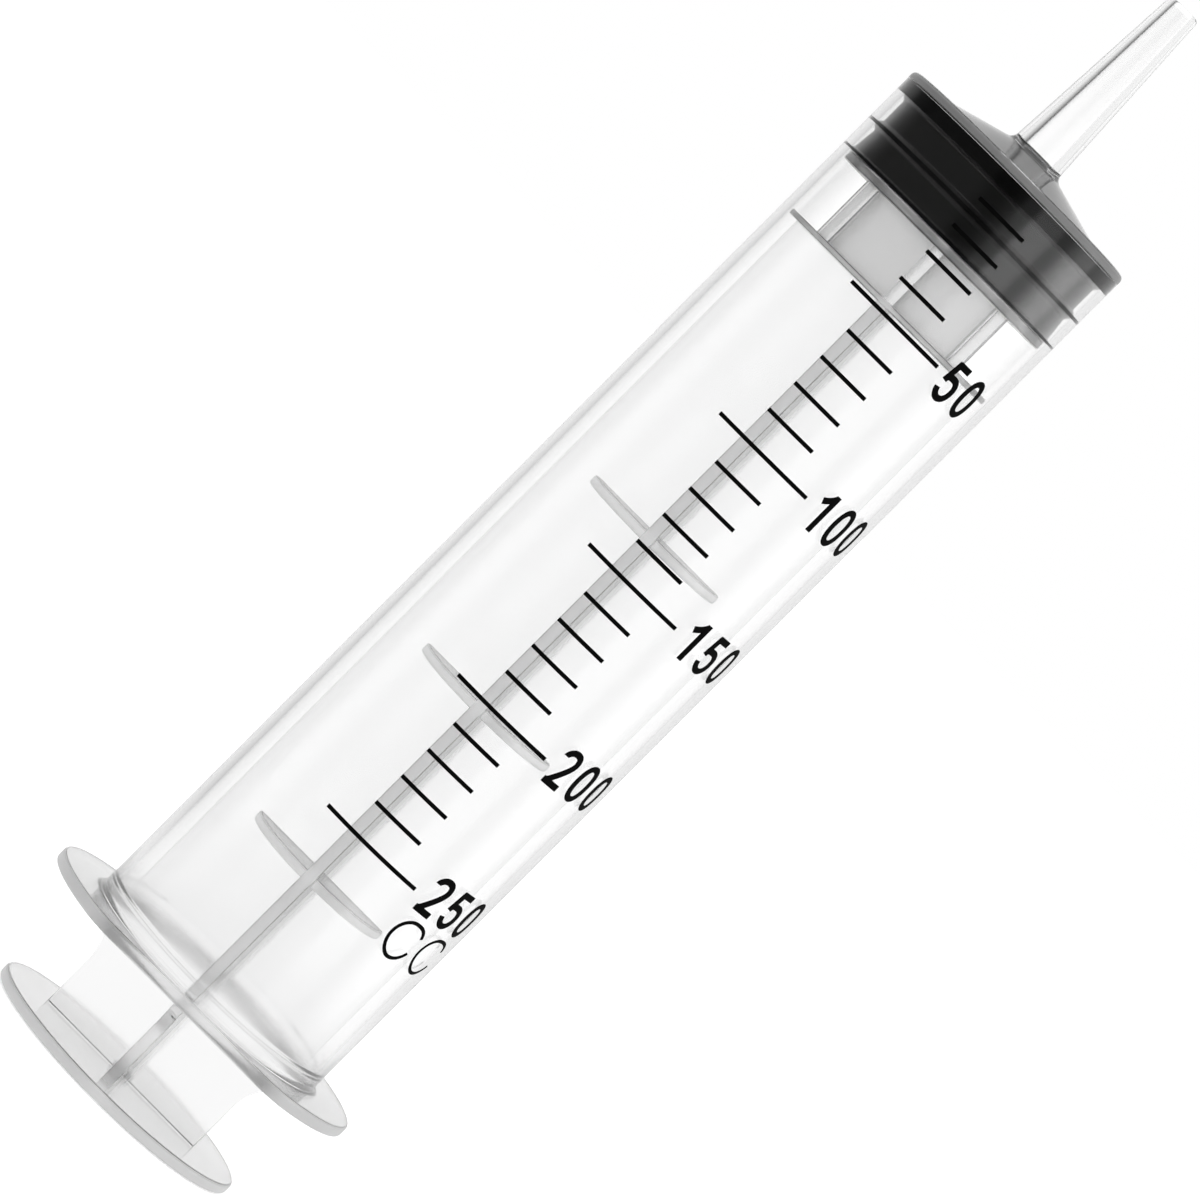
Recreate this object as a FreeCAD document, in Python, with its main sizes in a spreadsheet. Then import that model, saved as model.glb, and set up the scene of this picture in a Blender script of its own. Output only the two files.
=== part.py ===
import FreeCAD, Part

import math
import os
import types

import PartDesign
import Sketcher

# A large plastic syringe of 250 cubic centimetres, standing on its thumb plate with the nozzle up.
# It has three pieces: a clear barrel with a finger flange and a tapered nozzle, a plunger rod of
# crossed fins, and a rubber piston that snaps over the rod's head. Z runs along the common axis,
# from the thumb plate's rear face at zero.

# The driving sizes, in millimetres, radii rather than diameters, heights along the axis.
SIZES = {
    # Barrel
    "bore_radius": 22.8,
    "barrel_wall": 1.45,
    "barrel_draft": 0.2,
    "barrel_length": 192.4,
    "front_wall": 2.4,
    "front_corner_round": 1.0,
    "cone_base_radius": 17.1,
    "cone_rise": 3.2,
    "nozzle_base_radius": 5.05,
    "nozzle_tip_radius": 3.25,
    "nozzle_length": 35.0,
    "nozzle_root_round": 1.6,
    "nozzle_tip_round": 0.7,
    "passage_base_radius": 3.4,
    "passage_tip_radius": 1.85,
    # How far the flange's two flats and the thumb plate stand out past the tube, so that it lies level
    "table_clearance": 1.75,
    # Finger flange at the barrel's mouth
    "flange_radius": 33.0,
    "flange_corner_round": 9.0,
    "flange_thickness": 2.25,
    "flange_edge_round": 0.55,
    "flange_root_round": 0.7,
    # Ridge inside the mouth, which keeps the piston from being pulled out
    "mouth_chamfer": 0.5,
    "ridge_distance": 4.4,
    "ridge_height": 0.25,
    "ridge_slope": 0.6,
    # Plunger rod: thumb plate, handle fins and main fins
    "thumb_plate_thickness": 2.1,
    "thumb_plate_round": 0.6,
    "handle_half_width": 17.2,
    "handle_height": 11.5,
    "flare_radius": 9.2,
    "fin_half_width": 20.6,
    "fin_thickness": 2.1,
    # Short round webs between the fins
    "web_radius": 14.4,
    "web_thickness": 1.65,
    "first_web_height": 47.4,
    "web_pitch": 39.2,
    # Guide disc, square hollow neck and head disc
    "guide_clearance": 0.4,
    "guide_disc_height": 180.9,
    "guide_disc_thickness": 1.1,
    "neck_half_side": 15.7,
    "neck_wall": 2.1,
    "neck_length": 11.9,
    "head_disc_thickness": 1.6,
    # Hollow stem with the lip that the piston snaps over
    "stem_radius": 18.3,
    "stem_wall": 1.6,
    "stem_length": 11.4,
    "snap_lip_depth": 0.9,
    "snap_lip_length": 2.6,
    # Rubber piston
    "piston_clearance": 0.05,
    "snap_clearance": 0.1,
    "front_gap": 0.2,
    "piston_length": 14.6,
    "front_lip_length": 1.9,
    "front_lip_round": 0.3,
    "rib_height": 6.2,
    "rib_thickness": 0.6,
    "rear_rib_thickness": 0.6,
    "groove_depth": 0.75,
    "rear_groove_depth": 0.3,
}

WEB_COUNT = 3
# The rod as it lies in the barrel: turned a little about the axis
ROD_TURN_DEGREES = -2.3
# Two heights or radii this close, in millimetres, are the same edge
SAME = 0.001


class Length:
    """A length: its number, and the formula that gives it from the sheet."""

    def __init__(self, number, formula):
        self.number = number
        self.formula = formula

    def __add__(self, other):
        return Length(self.number + other.number, f"({self.formula} + {other.formula})")

    def __sub__(self, other):
        return Length(self.number - other.number, f"({self.formula} - {other.formula})")

    def __neg__(self):
        return Length(-self.number, f"(0 - {self.formula})")

    def __mul__(self, other):
        return Length(self.number * other.number, f"({self.formula} * {other.formula})")

    def __truediv__(self, other):
        return Length(self.number / other.number, f"({self.formula} / {other.formula})")


def plain(number):
    """A pure number in a formula, such as the 2 in a half."""
    return Length(number, str(number))


ZERO = plain(0)
TWO = plain(2)

document = FreeCAD.newDocument("Syringe")
sheet = document.addObject("Spreadsheet::Sheet", "Sizes")
size = types.SimpleNamespace()
for row, (name, number) in enumerate(SIZES.items(), start=1):
    sheet.set(f"A{row}", name)
    sheet.set(f"B{row}", str(number))
    sheet.setAlias(f"B{row}", name)
    setattr(size, name, Length(number, f"Sizes.{name}"))
document.recompute()


# Sketches


def new_sketch(body, name, plane, height=None):
    """A sketch on one of the body's own origin planes, lifted along the plane's normal."""
    planes = [feature for feature in body.Origin.OriginFeatures if feature.Role == plane]
    sketch = body.newObject("Sketcher::SketchObject", name)
    sketch.AttachmentSupport = (planes[0], "")
    sketch.MapMode = "FlatFace"
    if height is not None:
        sketch.setExpression("AttachmentOffset.Base.z", height.formula)
    return sketch


def measure(sketch, length, *constraint):
    """A constraint whose size is bound to the sheet."""
    index = sketch.addConstraint(Sketcher.Constraint(*constraint, length.number))
    sketch.setExpression(f"Constraints[{index}]", length.formula)


def place(sketch, geometry, end, across, along):
    """Holds one end of a line at its place, measured from the sketch's origin."""
    if across.number == 0:
        sketch.addConstraint(Sketcher.Constraint("PointOnObject", geometry, end, -2))
    else:
        measure(sketch, across, "DistanceX", -1, 1, geometry, end)
    if along.number == 0:
        sketch.addConstraint(Sketcher.Constraint("PointOnObject", geometry, end, -1))
    else:
        measure(sketch, along, "DistanceY", -1, 1, geometry, end)


def draw_outline(sketch, corners):
    """A closed outline of straight lines through the corners."""
    first = sketch.GeometryCount
    points = [FreeCAD.Vector(across.number, along.number, 0) for across, along in corners]
    for start, end in zip(points, points[1:] + points[:1]):
        sketch.addGeometry(Part.LineSegment(start, end))
    for index, (across, along) in enumerate(corners):
        following = first + (index + 1) % len(corners)
        sketch.addConstraint(Sketcher.Constraint("Coincident", first + index, 2, following, 1))
        place(sketch, first + index, 1, across, along)


def draw_circle(sketch, radius):
    """A circle round the sketch's origin."""
    circle = Part.Circle(FreeCAD.Vector(), FreeCAD.Vector(0, 0, 1), radius.number)
    index = sketch.addGeometry(circle)
    sketch.addConstraint(Sketcher.Constraint("Coincident", index, 3, -1, 1))
    measure(sketch, radius, "Radius", index)


def square_corners(half_side):
    return [(-half_side, -half_side), (half_side, -half_side), (half_side, half_side), (-half_side, half_side)]


# Features


def new_body(label):
    body = document.addObject("PartDesign::Body", label)
    body.Label = label
    return body


def pad(body, name, sketch, length, side="One side"):
    feature = body.newObject("PartDesign::Pad", name)
    feature.Profile = sketch
    feature.SideType = side
    feature.setExpression("Length", length.formula)
    document.recompute()
    return feature


def disc(body, name, radius, height, thickness):
    """A round plate across the axis."""
    sketch = new_sketch(body, name + "_outline", "XY_Plane", height)
    draw_circle(sketch, radius)
    return pad(body, name, sketch, thickness)


def turn(body, name, corners, kind="PartDesign::Revolution"):
    """Half a section in radius and height, turned once round the axis."""
    sketch = new_sketch(body, name + "_section", "XZ_Plane")
    draw_outline(sketch, corners)
    feature = body.newObject(kind, name)
    feature.Profile = sketch
    feature.ReferenceAxis = (sketch, ["V_Axis"])
    feature.Angle = 360
    document.recompute()
    return feature


def must_cut(body, make_cut):
    """Makes a cut and stops if it took nothing away."""
    before = body.Shape.Volume
    make_cut()
    if body.Shape.Volume > before - SAME:
        raise RuntimeError(f"a cut in {body.Label} removed nothing")


def rims(shape, radius, height):
    """The names of the whole circles of one radius at one height."""
    names = []
    for number, edge in enumerate(shape.Edges, start=1):
        if not isinstance(edge.Curve, Part.Circle):
            continue
        same_radius = abs(edge.Curve.Radius - radius.number) < SAME
        same_height = abs(edge.Curve.Center.z - height.number) < SAME
        if same_radius and same_height:
            names.append(f"Edge{number}")
    return names


def round_edges(body, name, edges, radius):
    if not edges:
        raise RuntimeError(f"no edge found for {name}")
    base = body.Tip
    feature = body.newObject("PartDesign::Fillet", name)
    feature.Base = (base, edges)
    feature.setExpression("Radius", radius.formula)
    document.recompute()


# Heights that more than one piece shares, from the thumb plate's rear face up

guide_disc_front = size.guide_disc_height + size.guide_disc_thickness
head_disc_rear = guide_disc_front + size.neck_length
head_disc_front = head_disc_rear + size.head_disc_thickness
stem_front = head_disc_front + size.stem_length
piston_rear = head_disc_front + size.snap_clearance
piston_front = piston_rear + size.piston_length
inner_front = piston_front + size.front_gap
outer_front = inner_front + size.front_wall
mouth = outer_front - size.barrel_length
flange_front = mouth + size.flange_thickness
nozzle_root = outer_front + size.cone_rise
nozzle_tip = nozzle_root + size.nozzle_length

front_radius = size.bore_radius + size.barrel_wall
mouth_radius = front_radius + size.barrel_draft
table_radius = mouth_radius + size.table_clearance
disc_radius = size.bore_radius - size.guide_clearance
piston_radius = size.bore_radius - size.piston_clearance
lip_radius = size.stem_radius + size.snap_lip_depth
# How far the front cone rises from its base in to the passage
cone_run = size.cone_base_radius - size.nozzle_base_radius
passage_run = size.cone_base_radius - size.passage_base_radius
passage_rise = size.cone_rise * passage_run / cone_run


# Barrel: the flange, the drafted tube, the flat front ring, the low cone and the nozzle in one moulding

barrel = new_body("barrel")


def draw_flange_outline(sketch):
    """Two flats, front and back, between two round wings."""
    radius = size.flange_radius.number
    depth = table_radius.number
    reach = math.sqrt(radius**2 - depth**2)
    angle = math.atan2(depth, reach)
    circle = Part.Circle(FreeCAD.Vector(), FreeCAD.Vector(0, 0, 1), radius)
    back = sketch.addGeometry(Part.LineSegment(FreeCAD.Vector(reach, depth, 0), FreeCAD.Vector(-reach, depth, 0)))
    left = sketch.addGeometry(Part.ArcOfCircle(circle, math.pi - angle, math.pi + angle))
    near = sketch.addGeometry(Part.LineSegment(FreeCAD.Vector(-reach, -depth, 0), FreeCAD.Vector(reach, -depth, 0)))
    right = sketch.addGeometry(Part.ArcOfCircle(circle, -angle, angle))
    for wing in (left, right):
        sketch.addConstraint(Sketcher.Constraint("Coincident", wing, 3, -1, 1))
        measure(sketch, size.flange_radius, "Radius", wing)
    for flat, place_across in ((back, table_radius), (near, -table_radius)):
        sketch.addConstraint(Sketcher.Constraint("Horizontal", flat))
        measure(sketch, place_across, "DistanceY", -1, 1, flat, 1)
    for first, second in ((back, left), (left, near), (near, right), (right, back)):
        sketch.addConstraint(Sketcher.Constraint("Coincident", first, 2, second, 1))


flange_outline = new_sketch(barrel, "flange_outline", "XY_Plane", mouth)
draw_flange_outline(flange_outline)
flange = pad(barrel, "flange", flange_outline, size.flange_thickness)
upright_edges = [
    f"Edge{number}"
    for number, edge in enumerate(flange.Shape.Edges, start=1)
    if abs(edge.BoundBox.ZLength - size.flange_thickness.number) < SAME
]
round_edges(barrel, "flange_corners", upright_edges, size.flange_corner_round)
round_edges(
    barrel,
    "flange_rim",
    [f"Edge{number}" for number, edge in enumerate(barrel.Shape.Edges, start=1) if edge.BoundBox.ZLength < SAME],
    size.flange_edge_round,
)
turn(
    barrel,
    "outer_wall",
    [
        (ZERO, mouth),
        (mouth_radius, mouth),
        (front_radius, outer_front),
        (size.cone_base_radius, outer_front),
        (size.nozzle_base_radius, nozzle_root),
        (size.nozzle_tip_radius, nozzle_tip),
        (ZERO, nozzle_tip),
    ],
)

ridge_rear = mouth + size.ridge_distance
ridge_middle = ridge_rear + size.ridge_slope
ridge_front = ridge_middle + size.ridge_slope


def cut_bore():
    turn(
        barrel,
        "bore",
        [
            (ZERO, mouth),
            (size.bore_radius + size.mouth_chamfer, mouth),
            (size.bore_radius, mouth + size.mouth_chamfer),
            (size.bore_radius, ridge_rear),
            (size.bore_radius - size.ridge_height, ridge_middle),
            (size.bore_radius, ridge_front),
            (size.bore_radius, inner_front),
            (size.cone_base_radius, inner_front),
            (size.passage_base_radius, inner_front + passage_rise),
            (size.passage_tip_radius, nozzle_tip),
            (ZERO, nozzle_tip),
        ],
        "PartDesign::Groove",
    )


must_cut(barrel, cut_bore)
round_edges(barrel, "front_corner", rims(barrel.Shape, front_radius, outer_front), size.front_corner_round)
round_edges(
    barrel, "nozzle_root", rims(barrel.Shape, size.nozzle_base_radius, nozzle_root), size.nozzle_root_round
)
round_edges(barrel, "nozzle_tip", rims(barrel.Shape, size.nozzle_tip_radius, nozzle_tip), size.nozzle_tip_round)


def flange_root_edges(shape):
    """The circle where the flange's front face meets the tube."""
    drafted = front_radius.number + size.barrel_draft.number * (
        1 - size.flange_thickness.number / size.barrel_length.number
    )
    return rims(shape, plain(drafted), flange_front)


round_edges(barrel, "flange_root", flange_root_edges(barrel.Shape), size.flange_root_round)


# Plunger rod: thumb plate, two crossed fins, round webs, guide disc, square neck, head disc and stem

rod = new_body("plunger_rod")


def draw_fin_outline(sketch):
    """One fin from the thumb plate up: narrow handle, hollow flare, then the full width."""
    handle = size.handle_half_width
    wide = size.fin_half_width
    base = size.thumb_plate_thickness / TWO
    flare = size.flare_radius.number
    step = wide.number - handle.number
    flare_top = size.handle_height.number + math.sqrt(flare**2 - (flare - step) ** 2)
    angle = math.acos((flare - step) / flare)
    bottom = sketch.addGeometry(
        Part.LineSegment(
            FreeCAD.Vector(-handle.number, base.number, 0), FreeCAD.Vector(handle.number, base.number, 0)
        )
    )
    top = sketch.addGeometry(
        Part.LineSegment(
            FreeCAD.Vector(wide.number, size.guide_disc_height.number, 0),
            FreeCAD.Vector(-wide.number, size.guide_disc_height.number, 0),
        )
    )
    place(sketch, bottom, 1, -handle, base)
    place(sketch, bottom, 2, handle, base)
    place(sketch, top, 1, wide, size.guide_disc_height)
    place(sketch, top, 2, -wide, size.guide_disc_height)
    # On each side: the ends of the bottom, the top and the flare that meet, and the flare's two angles
    sides = (
        (1, 2, 1, 2, 1, math.pi - angle, math.pi),
        (-1, 1, 2, 1, 2, 0, angle),
    )
    for side, bottom_end, top_end, curve_low, curve_high, from_angle, to_angle in sides:
        low = sketch.addGeometry(
            Part.LineSegment(
                FreeCAD.Vector(side * handle.number, base.number, 0),
                FreeCAD.Vector(side * handle.number, size.handle_height.number, 0),
            )
        )
        centre = FreeCAD.Vector(side * (handle.number + flare), size.handle_height.number, 0)
        circle = Part.Circle(centre, FreeCAD.Vector(0, 0, 1), flare)
        curve = sketch.addGeometry(Part.ArcOfCircle(circle, from_angle, to_angle))
        high = sketch.addGeometry(
            Part.LineSegment(
                FreeCAD.Vector(side * wide.number, flare_top, 0),
                FreeCAD.Vector(side * wide.number, size.guide_disc_height.number, 0),
            )
        )
        sketch.addConstraint(Sketcher.Constraint("Coincident", bottom, bottom_end, low, 1))
        sketch.addConstraint(Sketcher.Constraint("Vertical", low))
        measure(sketch, size.handle_height, "DistanceY", -1, 1, low, 2)
        sketch.addConstraint(Sketcher.Constraint("Tangent", low, 2, curve, curve_low))
        measure(sketch, size.flare_radius, "Radius", curve)
        sketch.addConstraint(Sketcher.Constraint("Coincident", curve, curve_high, high, 1))
        sketch.addConstraint(Sketcher.Constraint("Vertical", high))
        sketch.addConstraint(Sketcher.Constraint("Coincident", high, 2, top, top_end))


disc(rod, "thumb_plate", table_radius, ZERO, size.thumb_plate_thickness)
round_edges(
    rod,
    "thumb_plate_rim",
    rims(rod.Shape, table_radius, ZERO) + rims(rod.Shape, table_radius, size.thumb_plate_thickness),
    size.thumb_plate_round,
)
for name, plane in (("side_fins", "XZ_Plane"), ("front_fins", "YZ_Plane")):
    fin_outline = new_sketch(rod, name + "_outline", plane)
    draw_fin_outline(fin_outline)
    pad(rod, name, fin_outline, size.fin_thickness, "Symmetric")


def draw_web_section(sketch):
    """Half a section of a round web, with a rounded rim."""
    radius = size.web_thickness.number / 2
    low = size.first_web_height.number
    straight = size.web_radius.number - radius
    corners = [
        FreeCAD.Vector(0, low, 0),
        FreeCAD.Vector(straight, low, 0),
        FreeCAD.Vector(straight, low + 2 * radius, 0),
        FreeCAD.Vector(0, low + 2 * radius, 0),
    ]
    under = sketch.addGeometry(Part.LineSegment(corners[0], corners[1]))
    circle = Part.Circle(FreeCAD.Vector(straight, low + radius, 0), FreeCAD.Vector(0, 0, 1), radius)
    rim = sketch.addGeometry(Part.ArcOfCircle(circle, -math.pi / 2, math.pi / 2))
    upper = sketch.addGeometry(Part.LineSegment(corners[2], corners[3]))
    axis = sketch.addGeometry(Part.LineSegment(corners[3], corners[0]))
    for first, second in ((under, rim), (rim, upper)):
        sketch.addConstraint(Sketcher.Constraint("Tangent", first, 2, second, 1))
    for first, second in ((upper, axis), (axis, under)):
        sketch.addConstraint(Sketcher.Constraint("Coincident", first, 2, second, 1))
    place(sketch, under, 1, ZERO, size.first_web_height)
    place(sketch, upper, 2, ZERO, size.first_web_height + size.web_thickness)
    sketch.addConstraint(Sketcher.Constraint("Horizontal", under))
    sketch.addConstraint(Sketcher.Constraint("Horizontal", upper))
    measure(sketch, size.web_radius - size.web_thickness / TWO, "DistanceX", -1, 1, rim, 3)


web_section = new_sketch(rod, "web_section", "XZ_Plane")
draw_web_section(web_section)
web = rod.newObject("PartDesign::Revolution", "web")
web.Profile = web_section
web.ReferenceAxis = (web_section, ["V_Axis"])
web.Angle = 360
document.recompute()
webs = rod.newObject("PartDesign::LinearPattern", "webs")
webs.Originals = [web]
webs.Direction = (web_section, ["V_Axis"])
webs.setExpression("Length", (size.web_pitch * plain(WEB_COUNT - 1)).formula)
webs.Occurrences = WEB_COUNT
rod.Tip = webs
document.recompute()

disc(rod, "guide_disc", disc_radius, size.guide_disc_height, size.guide_disc_thickness)
neck_outline = new_sketch(rod, "neck_outline", "XY_Plane", guide_disc_front)
draw_outline(neck_outline, square_corners(size.neck_half_side))
pad(rod, "neck", neck_outline, size.neck_length)
disc(rod, "head_disc", disc_radius, head_disc_rear, size.head_disc_thickness)
snap_lip_rear = stem_front - size.snap_lip_length
turn(
    rod,
    "stem",
    [
        (ZERO, head_disc_front),
        (size.stem_radius, head_disc_front),
        (size.stem_radius, snap_lip_rear),
        (lip_radius, snap_lip_rear + size.snap_lip_depth),
        (lip_radius, stem_front - size.snap_lip_depth),
        (size.stem_radius, stem_front),
        (ZERO, stem_front),
    ],
)
hollow_radius = size.stem_radius - size.stem_wall
hollow_outline = new_sketch(rod, "hollow_outline", "XY_Plane", stem_front)
draw_circle(hollow_outline, hollow_radius)


def cut_hollow():
    hollow = rod.newObject("PartDesign::Pocket", "hollow")
    hollow.Profile = hollow_outline
    hollow.setExpression("Length", (stem_front - guide_disc_front).formula)
    document.recompute()


must_cut(rod, cut_hollow)
# The round hollow runs out through the neck's flat sides, so its four walls are put back as a square tube
walls_outline = new_sketch(rod, "neck_walls_outline", "XY_Plane", guide_disc_front)
draw_outline(walls_outline, square_corners(size.neck_half_side))
draw_outline(walls_outline, square_corners(size.neck_half_side - size.neck_wall))
pad(rod, "neck_walls", walls_outline, size.neck_length)


def cross_corners(reach):
    """A plus sign of two crossed fins."""
    half = size.fin_thickness / TWO
    quarter = [(half, half), (half, reach), (-half, reach)]
    corners = []
    for _ in range(4):
        corners += quarter
        quarter = [(-along, across) for across, along in quarter]
    return corners


for name, reach, low, length in (
    ("neck_cross", size.neck_half_side - size.neck_wall / TWO, guide_disc_front, size.neck_length),
    ("stem_cross", size.stem_radius - size.stem_wall / TWO, head_disc_rear, stem_front - head_disc_rear),
):
    cross_outline = new_sketch(rod, name + "_outline", "XY_Plane", low)
    draw_outline(cross_outline, cross_corners(reach))
    pad(rod, name, cross_outline, length)

rod.Placement = FreeCAD.Placement(FreeCAD.Vector(), FreeCAD.Rotation(FreeCAD.Vector(0, 0, 1), ROD_TURN_DEGREES))


# Rubber piston: a cap with a front lip, a thin middle rib and a thin rear rib, and a cone that
# matches the barrel's front

piston = new_body("rubber_piston")
rear_rib_front = piston_rear + size.rear_rib_thickness
rib_rear = piston_rear + size.rib_height
rib_front = rib_rear + size.rib_thickness
front_lip_rear = piston_front - size.front_lip_length
groove_radius = piston_radius - size.groove_depth
turn(
    piston,
    "cap",
    [
        (ZERO, piston_rear),
        (piston_radius, piston_rear),
        (piston_radius, rear_rib_front),
        (piston_radius - size.rear_groove_depth, rear_rib_front + size.rear_groove_depth),
        (groove_radius, rib_rear - size.groove_depth),
        (piston_radius, rib_rear),
        (piston_radius, rib_front),
        (groove_radius, rib_front + size.groove_depth),
        (groove_radius, front_lip_rear - size.groove_depth),
        (piston_radius, front_lip_rear),
        (piston_radius, piston_front),
        (size.cone_base_radius, piston_front),
        (size.passage_base_radius, piston_front + passage_rise),
        (ZERO, piston_front + passage_rise),
    ],
)
cavity_radius = size.stem_radius + size.snap_clearance
cavity_lip_radius = lip_radius + size.snap_clearance
cavity_front = stem_front + size.snap_clearance


def cut_cavity():
    turn(
        piston,
        "cavity",
        [
            (ZERO, piston_rear),
            (cavity_radius, piston_rear),
            (cavity_radius, snap_lip_rear - size.snap_clearance),
            (cavity_lip_radius, snap_lip_rear + size.snap_lip_depth - size.snap_clearance),
            (cavity_lip_radius, stem_front - size.snap_lip_depth + size.snap_clearance),
            (cavity_radius, cavity_front),
            (ZERO, cavity_front),
        ],
        "PartDesign::Groove",
    )


must_cut(piston, cut_cavity)
round_edges(piston, "front_lip_edge", rims(piston.Shape, piston_radius, piston_front), size.front_lip_round)


# Checks, then one file for each piece

document.recompute()
for item in document.Objects:
    if "Invalid" in item.State or "Error" in item.State:
        raise RuntimeError(f"{item.Name} failed: {item.State}")

os.makedirs("parts", exist_ok=True)
for body in (barrel, rod, piston):
    shape = body.Shape
    if shape.isNull() or not shape.isValid() or len(shape.Solids) != 1:
        raise RuntimeError(f"{body.Label} isn't one valid solid")
    box = shape.BoundBox
    print(
        f"{body.Label}: {shape.Volume / 1000:.2f} cubic cm, "
        f"x {box.XMin:.2f} to {box.XMax:.2f}, y {box.YMin:.2f} to {box.YMax:.2f}, z {box.ZMin:.2f} to {box.ZMax:.2f}"
    )
for body in (barrel, rod, piston):
    body.Shape.exportStep(f"parts/{body.Label}.step")
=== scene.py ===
# %% [markdown]
# # A large plastic syringe
# Three moulded pieces share one axis: a clear barrel, a plunger rod of crossed fins and a black rubber
# piston that is snapped over the rod's head. The CAD model is loaded first, as a frame that fixes every
# size. The syringe stands on its thumb plate with the nozzle up, and the printed scale faces -Y.

# %% Load the frame
import math

import bmesh
import bpy
from mathutils import Matrix, Vector


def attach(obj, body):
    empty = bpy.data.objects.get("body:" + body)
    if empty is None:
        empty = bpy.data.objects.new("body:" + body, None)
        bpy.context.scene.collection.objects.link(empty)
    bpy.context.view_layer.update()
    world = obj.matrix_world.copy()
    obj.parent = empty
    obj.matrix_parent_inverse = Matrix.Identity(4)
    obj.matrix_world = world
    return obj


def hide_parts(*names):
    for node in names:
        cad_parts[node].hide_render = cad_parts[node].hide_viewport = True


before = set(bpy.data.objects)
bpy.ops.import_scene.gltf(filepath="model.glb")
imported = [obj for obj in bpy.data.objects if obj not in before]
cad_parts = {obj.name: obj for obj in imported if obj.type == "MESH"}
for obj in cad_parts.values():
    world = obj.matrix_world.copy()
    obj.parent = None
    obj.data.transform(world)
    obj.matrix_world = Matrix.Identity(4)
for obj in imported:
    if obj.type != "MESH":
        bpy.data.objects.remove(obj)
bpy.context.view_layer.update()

# %% [markdown]
# ## Camera
# The syringe was photographed from the side with a long lens, and the picture was turned so that the
# nozzle points to the upper right. The object stands upright here, so the camera is rolled instead: it
# looks level at the barrel from about a metre away, a little from above, and is turned 45 degrees
# about its own view. Shift and depth of field stay off, so the same lens works from any side.

# %% Place the camera
MM = 0.001
CAMERA_PLACE = Vector((0.6, -1100.0, 180.0)) * MM
CAMERA_AIM = Vector((0.6, 0.0, 114.4)) * MM
CAMERA_ROLL = math.radians(45)
LENS_MM = 199.9

view_turn = (CAMERA_AIM - CAMERA_PLACE).to_track_quat("-Z", "Y").to_matrix()
bpy.ops.object.camera_add(location=CAMERA_PLACE)
camera = bpy.context.object
camera.name = "side_camera"
camera.rotation_euler = (view_turn @ Matrix.Rotation(CAMERA_ROLL, 3, "Z")).to_euler()
camera.data.lens = LENS_MM
camera.data.sensor_width = 36.0
camera.data.clip_end = 50.0
bpy.context.scene.camera = camera
print("camera:", [round(number, 3) for number in camera.location], "lens", camera.data.lens)

# %% [markdown]
# ## Working by hand, in code
# Each piece is modelled as at the screen: add a primitive, enter edit mode, pick points, edges or
# faces, and run an operator on what is picked. Operators act on all that is selected, and a new
# primitive is selected all over, so these few helpers deselect first and then pick by place.

# %% Helpers for picking and shaping
CIRCLE_STEPS = 256


def add_primitive(name, operator, **settings):
    """Add one primitive with nothing else selected, give it its name and bring its origin to zero."""
    bpy.ops.object.select_all(action="DESELECT")
    operator(**settings)
    piece = bpy.context.object
    piece.name = name
    piece.data.name = name
    bpy.ops.object.transform_apply(location=True, rotation=True, scale=True)
    return piece


def edit(piece):
    """Enter edit mode on one piece alone, in point mode, with nothing in it selected."""
    bpy.ops.object.select_all(action="DESELECT")
    piece.select_set(True)
    bpy.context.view_layer.objects.active = piece
    bpy.ops.object.mode_set(mode="EDIT")
    bpy.ops.mesh.select_mode(type="VERT")
    bpy.ops.mesh.select_all(action="DESELECT")


def stop_editing():
    bpy.ops.object.mode_set(mode="OBJECT")


def pick(piece, kind, test):
    """In edit mode, select only the points, edges or faces that pass the test, and count them."""
    bpy.ops.mesh.select_mode(type=kind)
    bpy.ops.mesh.select_all(action="DESELECT")
    shape = bmesh.from_edit_mesh(piece.data)
    parts = {"VERT": shape.verts, "EDGE": shape.edges, "FACE": shape.faces}[kind]
    picked = [part for part in parts if test(part)]
    for part in picked:
        part.select_set(True)
    bmesh.update_edit_mesh(piece.data)
    return len(picked)


def middle(edge):
    return (edge.verts[0].co + edge.verts[1].co) / 2


def edge_span(edge):
    """How far an edge reaches along x, y and z."""
    step = edge.verts[1].co - edge.verts[0].co
    return Vector((abs(step.x), abs(step.y), abs(step.z)))


def finish_surface(piece, sharp_degrees=35):
    """Smooth shading with crisp edges, where wide flat faces keep their own normals."""
    bpy.ops.object.select_all(action="DESELECT")
    piece.select_set(True)
    bpy.context.view_layer.objects.active = piece
    bpy.ops.object.shade_smooth_by_angle(angle=math.radians(sharp_degrees))
    modifier = piece.modifiers.new("even_normals", "WEIGHTED_NORMAL")
    modifier.keep_sharp = True
    bpy.ops.object.modifier_apply(modifier=modifier.name)
    print(piece.name, "has", len(piece.data.polygons), "faces, size in mm",
          [round(number / MM, 2) for number in piece.dimensions])


# %% [markdown]
# ## Turned shapes
# Barrel, piston and discs are round, like work from a lathe. They could start as cylinders, but a
# lathe's way is truer: one point is extruded along the outline of half a section, the corners are
# rounded by a bevel on single points, and Spin carries the section once round the axis. The seam
# where the last step meets the first is closed by merging points that lie together.

# %% Draw and spin a section
SECTION_ROUND_STEPS = 5


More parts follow.
